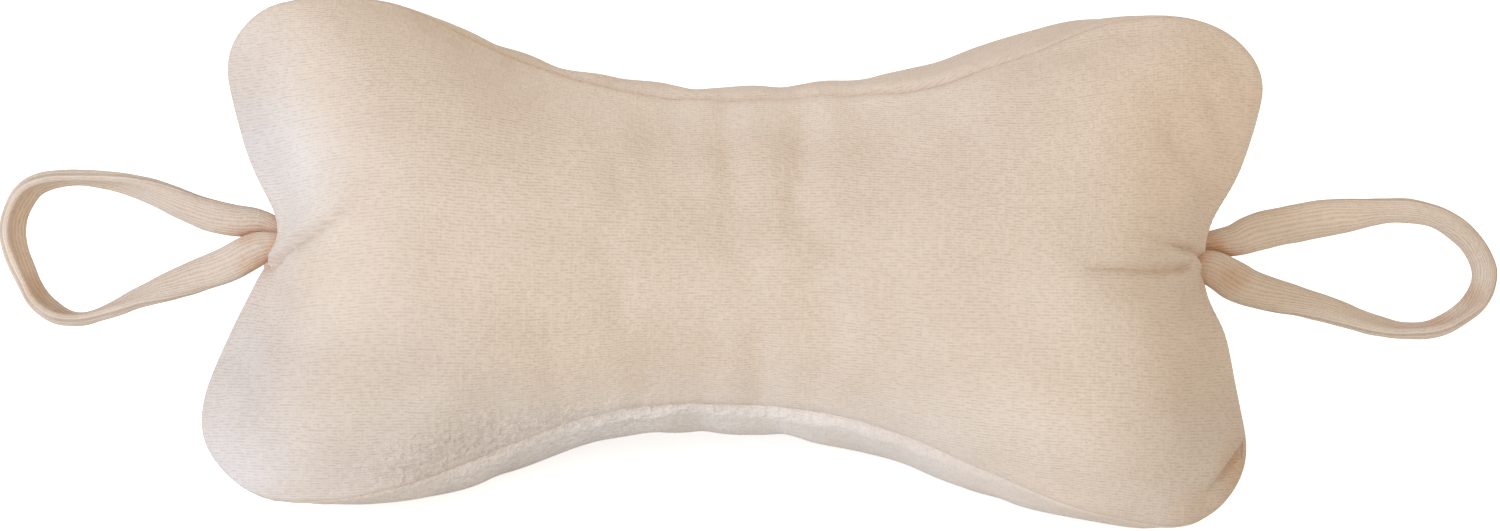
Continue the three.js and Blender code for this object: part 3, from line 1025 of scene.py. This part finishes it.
# ---- Seams ----
SEAM_PITCH = 3.0 * MM
SEAM_THREAD = 0.28 * MM
STITCH_DEPTH = 0.3 * MM  # below the groove's bottom, so that the thread doesn't stand out
SEAM_REACH = PANEL_END - 0.045
SEAM_POINTS = 500
STUFFING_GAP = 0.118  # as a share of the way to a notch
SEAM_RUNS = [
    ("ridge_stitching", "ridge_seam_thread", "front_panel", -SEAM_REACH, SEAM_REACH),
    ("front_stitching", "front_seam_thread", "bottom_panel", -SEAM_REACH, SEAM_REACH),
    ("rear_stitching_left", "rear_seam_thread_left", "rear_panel", -SEAM_REACH, -STUFFING_GAP),
    ("rear_stitching_right", "rear_seam_thread_right", "rear_panel", STUFFING_GAP, SEAM_REACH),
]


def seam_line(turn, s):
    """The bottom of the groove along a seam, and the way out of it, after the pillow's unevenness."""
    edge, inward, _ = seam_frame(s, 1)
    depth = SEAM_GROOVE + STITCH_DEPTH
    base = settled(turned(edge + inward * depth, turn))
    deeper = settled(turned(edge + inward * (depth + 1 * MM), turn))
    return base, unit(base - deeper)


def build_seams():
    for name, node, panel, start, stop in SEAM_RUNS:
        line, out = seam_line(PANEL_TURNS[panel], np.linspace(start, stop, SEAM_POINTS))
        piece = lockstitch(name, line, SEAM_PITCH, SEAM_THREAD, out)
        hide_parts(node)
        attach(piece, "pillow")


HAND_STITCHES = 19
HAND_STITCH_REACH = 1.9 * MM
HAND_STITCH_HEIGHT = 1.2 * MM
HAND_THREAD = 0.4 * MM


def build_closing_stitch():
    """Hand stitches that cross from panel to panel over the gap that the pillow is stuffed through."""
    s = np.linspace(-STUFFING_GAP, STUFFING_GAP, HAND_STITCHES * 2 + 1)
    line, out = seam_line(PANEL_TURNS["rear_panel"], s)
    ahead = unit(np.gradient(line, axis=0))
    across = np.cross(ahead, out)
    points = []
    for k in range(len(s)):
        side = 1 if (k // 2) % 2 else -1
        swing = side * (HAND_STITCH_REACH + 0.3 * MM * math.sin(5.1 * k))
        slant = 0.4 * MM * math.sin(2.3 * k)
        points.append(line[k] + across[k] * swing + ahead[k] * slant + out[k] * HAND_STITCH_HEIGHT)
    curve = rounded_curve(points, per_span=8)
    lift = rounded_curve(out, per_span=8)
    piece = thread_piece("closing_stitches", curve, lift, np.full(len(curve), HAND_THREAD))
    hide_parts("closing_stitch")
    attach(piece, "pillow")


# ---- Loops ----
AROUND = 40
TUBE_STEP = 1.3 * MM
HALF_THICK = 3.1 * MM
TUBE_GIRTH = 31 * MM
TUBE_GROOVE = 0.8 * MM  # along the tube's own seam
TUBE_STITCH_PITCH = 2.6 * MM
TUBE_THREAD = 0.3 * MM
HOLLOW_ROLLS = (45, 78)  # a tube on edge folds in on its inner side: from this roll, and fully from that
HOLLOW_DEPTH = 1.15
HOLLOW_WIDTH = 0.75
# How lumpy the tubes are, as (how far, size of the lumps, seed). Millimetres.
TUBE_LUMPS = [(0.35, 8, 11), (0.6, 19, 12)]
# A loop from the end of its upper leg to the end of its lower leg, in millimetres in the loop's plane:
# (reach from the notch, height, towards the front, half width, roll in degrees)
LOOPS = {
    "left": [
        (-11, 7.0, -1.5, 3.6, 4),
        (-4, 11.6, -1.5, 4.6, 6),
        (2, 13.2, -1.2, 5.2, 10),
        (10, 13.6, -0.6, 5.9, 20),
        (22, 16.4, 0, 6.3, 34),
        (43, 24.6, 0, 6.3, 60),
        (65, 28.2, 0, 6.4, 84),
        (80.5, 26.4, 0, 6.2, 80),
        (88.2, 20.2, 0, 6.2, 70),
        (91.4, 7.6, 0, 6.2, 68),
        (86, -7.4, 0, 6.2, 72),
        (78, -18.8, 0, 6.2, 70),
        (65, -23.0, 0, 6.4, 82),
        (43, -14.8, 0, 6.4, 60),
        (22, -6.8, 0.5, 6.6, 24),
        (11, -2.4, 2.2, 7.0, 10),
        (3, 2.2, 3.2, 6.6, 4),
        (-3, 4.4, 2.6, 5.4, 0),
        (-11, 4.4, 1.0, 3.8, 0),
    ],
    "right": [
        (-11, 6.0, -1.6, 3.4, 4),
        (-4, 9.4, -1.8, 4.2, 6),
        (2, 10.8, -1.6, 4.8, 8),
        (10, 11.8, -0.8, 6.0, 8),
        (19, 15.2, 0, 7.0, 10),
        (41, 20.4, 0, 7.0, 22),
        (63, 23.6, 0, 5.4, 42),
        (75, 24.0, 0, 4.7, 46),
        (86, 21.4, 0, 4.2, 44),
        (96.8, 13.6, 0, 4.3, 38),
        (102.4, 1.6, 0, 4.5, 42),
        (98.2, -9.8, 0, 5.0, 62),
        (86.5, -17.8, 0, 5.8, 74),
        (75, -19.8, 0, 5.8, 74),
        (63, -18.2, 0, 6.0, 62),
        (41, -11.6, 0, 6.6, 46),
        (19, -6.0, 0.8, 7.0, 14),
        (10, -2.4, 2.4, 7.4, 4),
        (2, 1.6, 3.4, 6.8, 2),
        (-4, 3.0, 2.4, 5.2, 0),
        (-11, 3.0, 1.0, 3.8, 0),
    ],
}


def loop_point(sign, reach, height, front):
    along = ALONG * sign * (NOTCH_X + reach * MM)
    return AXIS_POINT + along + PLANE_UP * height * MM + PLANE_OUT * front * MM


def tube_rings(sign, curve, half_width, roll):
    """Rings of points round a cloth tube.

    Roll 0 has the tube's wide side in the loop's plane, and 90 stands it on edge.
    """
    tangent = unit(np.gradient(curve, axis=0))
    side = unit(sign * np.cross(PLANE_OUT, tangent))
    out = sign * np.cross(tangent, side)
    angle = np.arange(AROUND) * 2 * math.pi / AROUND
    c, s = np.cos(angle), np.sin(angle)
    turn = np.radians(roll)[:, None]
    wide = side * np.cos(turn) + out * np.sin(turn)
    thin = out * np.cos(turn) - side * np.sin(turn)
    sunk = bell(angle - math.pi / 2, HOLLOW_WIDTH) * smoothstep(*HOLLOW_ROLLS, roll)[:, None]
    flat = np.sign(s) * np.abs(s) ** 0.6 * HALF_THICK * (1 - HOLLOW_DEPTH * sunk)
    across = half_width[:, None] * np.sign(c) * np.abs(c) ** 0.85 + TUBE_GROOVE * bell(angle - math.pi, 0.2)
    rings = curve[:, None] + across[..., None] * wide[:, None] + flat[..., None] * thin[:, None]
    away = unit(rings - curve[:, None])
    lumps = sum(far * MM * noise_at(rings, size * MM, seed) for far, size, seed in TUBE_LUMPS)
    return rings + lumps[..., None] * away


def build_loop(side, sign):
    """A loop in three pieces, cut on the line that it folds at, and the stitching of its own seam."""
    places = [[*loop_point(sign, *row[:3]), *row[3:]] for row in LOOPS[side]]
    curve = rounded_curve(places)
    count = int(distance_along(curve[:, :3])[-1] / TUBE_STEP)
    points, shape, along = resampled(curve[:, :3], curve[:, 3:], count)
    rings = tube_rings(sign, points, shape[:, 0] * MM, shape[:, 1])
    outside = np.where(np.abs(points[:, 0]) - NOTCH_X >= ROOT_REACH)[0]
    first, last = outside[0], outside[-1]
    spans = {
        f"{side}_loop_tube": slice(first, last + 1),
        f"{side}_loop_end_upper": slice(0, first + 1),
        f"{side}_loop_end_lower": slice(last, None),
    }
    cloth = [rings_to_object(name, rings[span], along[span], TUBE_GIRTH) for name, span in spans.items()]
    tube, upper, lower = [dress(piece, LOOP_VELOUR) for piece in cloth]
    seam = rings[first + 2 : last - 1, AROUND // 2]
    lift = unit(seam - points[first + 2 : last - 1])
    seam = seam + lift * 0.2 * MM
    stitches = lockstitch(f"{side}_loop_stitching", seam, TUBE_STITCH_PITCH, TUBE_THREAD, lift)
    for piece in (upper, lower):
        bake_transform(piece)
    for piece in (tube, stitches):
        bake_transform(piece)
    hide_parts(f"{side}_loop")
    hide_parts(f"{side}_loop_seam_thread")
    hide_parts(f"{side}_loop_root", f"{side}_loop_ends")


# ---- Stage, light and camera ----
STAGE_REACH = 6
FLOOR_GLOW = 0.75  # lifts the floor to white for the camera, without lighting the pillow
LIGHT_DISTANCE = 1.5
# Each light: the way to it from the pillow, its size and power, and its colour.
LIGHTS = {
    "key": ((-0.70, -0.55, 0.45), 0.6, 8.8, (0.48, 0.66, 1.0)),
    "front": ((-0.25, -0.95, 0.06), 1.2, 8.0, (0.88, 0.98, 0.98)),
}
SKY_COLOR = (1.0, 0.91, 0.80, 1)
SKY_STRENGTH = 0.80


def floor_material():
    look = Look("floor")
    seen = look.add("LightPath").outputs["Is Camera Ray"]
    return look.shaded(
        {
            "Base Color": look.ramp(look.noise(3, 2), (0.86, 0.86, 0.86), (0.89, 0.89, 0.89)),
            "Roughness": 0.9,
            "Specular IOR Level": 0.1,
            "Emission Color": (1, 1, 1, 1),
            "Emission Strength": look.calc("MULTIPLY", seen, FLOOR_GLOW),
        }
    )


def build_stage():
    corners = [(x * STAGE_REACH, y * STAGE_REACH, 0) for x, y in ((-1, -1), (1, -1), (1, 1), (-1, 1))]
    floor = new_object("floor", corners, [(0, 1, 2, 3)])
    floor.data.materials.append(floor_material())


def area_light(name, place, target, size, power, color):
    data = bpy.data.lights.new(name, "AREA")
    data.shape = "DISK"
    data.size = size
    data.energy = power
    data.color = color
    lamp = bpy.data.objects.new(name, data)
    lamp.location = place
    lamp.rotation_euler = (target - place).to_track_quat("-Z", "Y").to_euler()
    bpy.context.scene.collection.objects.link(lamp)


def build_light():
    world = bpy.data.worlds.new("studio")
    bpy.context.scene.world = world
    world.use_nodes = True
    background = world.node_tree.nodes["Background"]
    background.inputs["Color"].default_value = SKY_COLOR
    background.inputs["Strength"].default_value = SKY_STRENGTH
    centre = Vector(AXIS_POINT)
    for name, (way, size, power, color) in LIGHTS.items():
        place = centre + Vector(way).normalized() * LIGHT_DISTANCE
        area_light(name, place, centre, size, power, color)


CAMERA_DISTANCE = 1.0
CAMERA_ELEVATION = math.radians(26)
CAMERA_ROLL = math.radians(0.9)
PICTURE_WIDTH = 1500
FOCAL_PIXELS = 2715
SHIFT_PIXELS = 17  # the pillow's centre is this far left of the picture's
SENSOR_WIDTH = 36


def build_camera():
    elevation, roll = CAMERA_ELEVATION, CAMERA_ROLL
    back = Vector((0, -math.cos(elevation), math.sin(elevation)))
    level = Vector((1, 0, 0))
    upright = Vector((0, math.sin(elevation), math.cos(elevation)))
    right = level * math.cos(roll) + upright * math.sin(roll)
    up = upright * math.cos(roll) - level * math.sin(roll)
    data = bpy.data.cameras.new("camera")
    data.sensor_fit = "HORIZONTAL"
    data.sensor_width = SENSOR_WIDTH
    data.lens = SENSOR_WIDTH * FOCAL_PIXELS / PICTURE_WIDTH
    data.shift_x = SHIFT_PIXELS / PICTURE_WIDTH
    camera = bpy.data.objects.new("camera", data)
    place = Vector(AXIS_POINT) + back * CAMERA_DISTANCE
    rows = [(right[k], up[k], back[k], place[k]) for k in range(3)]
    camera.matrix_world = Matrix((*rows, (0, 0, 0, 1)))
    bpy.context.scene.collection.objects.link(camera)
    bpy.context.scene.camera = camera


build_panels()
build_filling()
build_seams()
build_closing_stitch()
build_loop("left", -1)
build_loop("right", 1)
build_stage()
build_light()
build_camera()
bpy.context.scene.view_settings.view_transform = "Standard"

bpy.context.view_layer.update()
